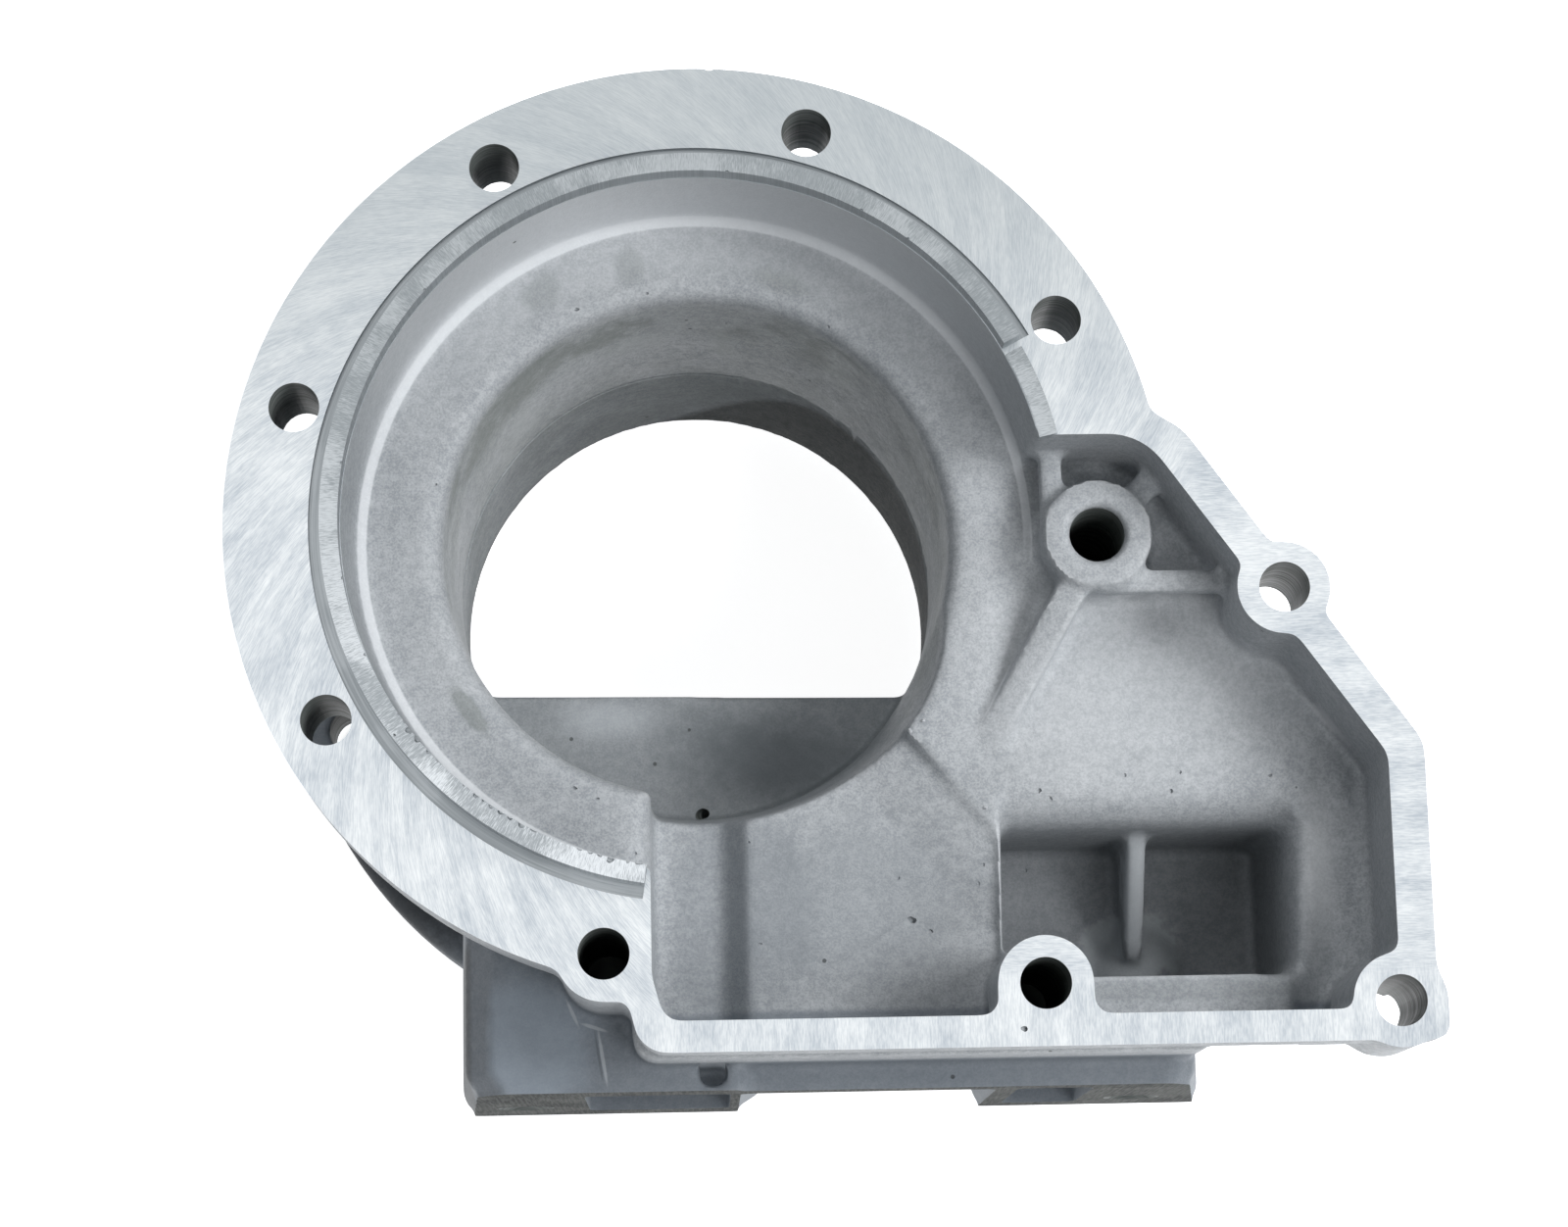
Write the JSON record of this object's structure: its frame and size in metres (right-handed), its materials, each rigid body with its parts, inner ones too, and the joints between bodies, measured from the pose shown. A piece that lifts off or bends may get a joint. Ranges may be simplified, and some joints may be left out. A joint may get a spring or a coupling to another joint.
{
  "type": "transmission extension housing",
  "caption": "Bare cast aluminium extension housing with a round bolt flange, a raised pilot ring, a stepped through bore, an oil dam, a deep side pocket with ribs and two mounting feet.",
  "frame": {"origin": "centre of the main bore in the rear flange's face, on which the housing stands", "axes": "+Z along the main bore, up from the rear flange to the front flange; +X towards the side pocket; -Y towards the two mounting feet"},
  "size_m": [0.2596, 0.223, 0.148],
  "materials": {
    "cast_aluminium": "matte as-cast skin with bright milled flange faces"
  },
  "bodies": {
    "root": {"housing": "cast_aluminium"}
  },
  "joints": []
}
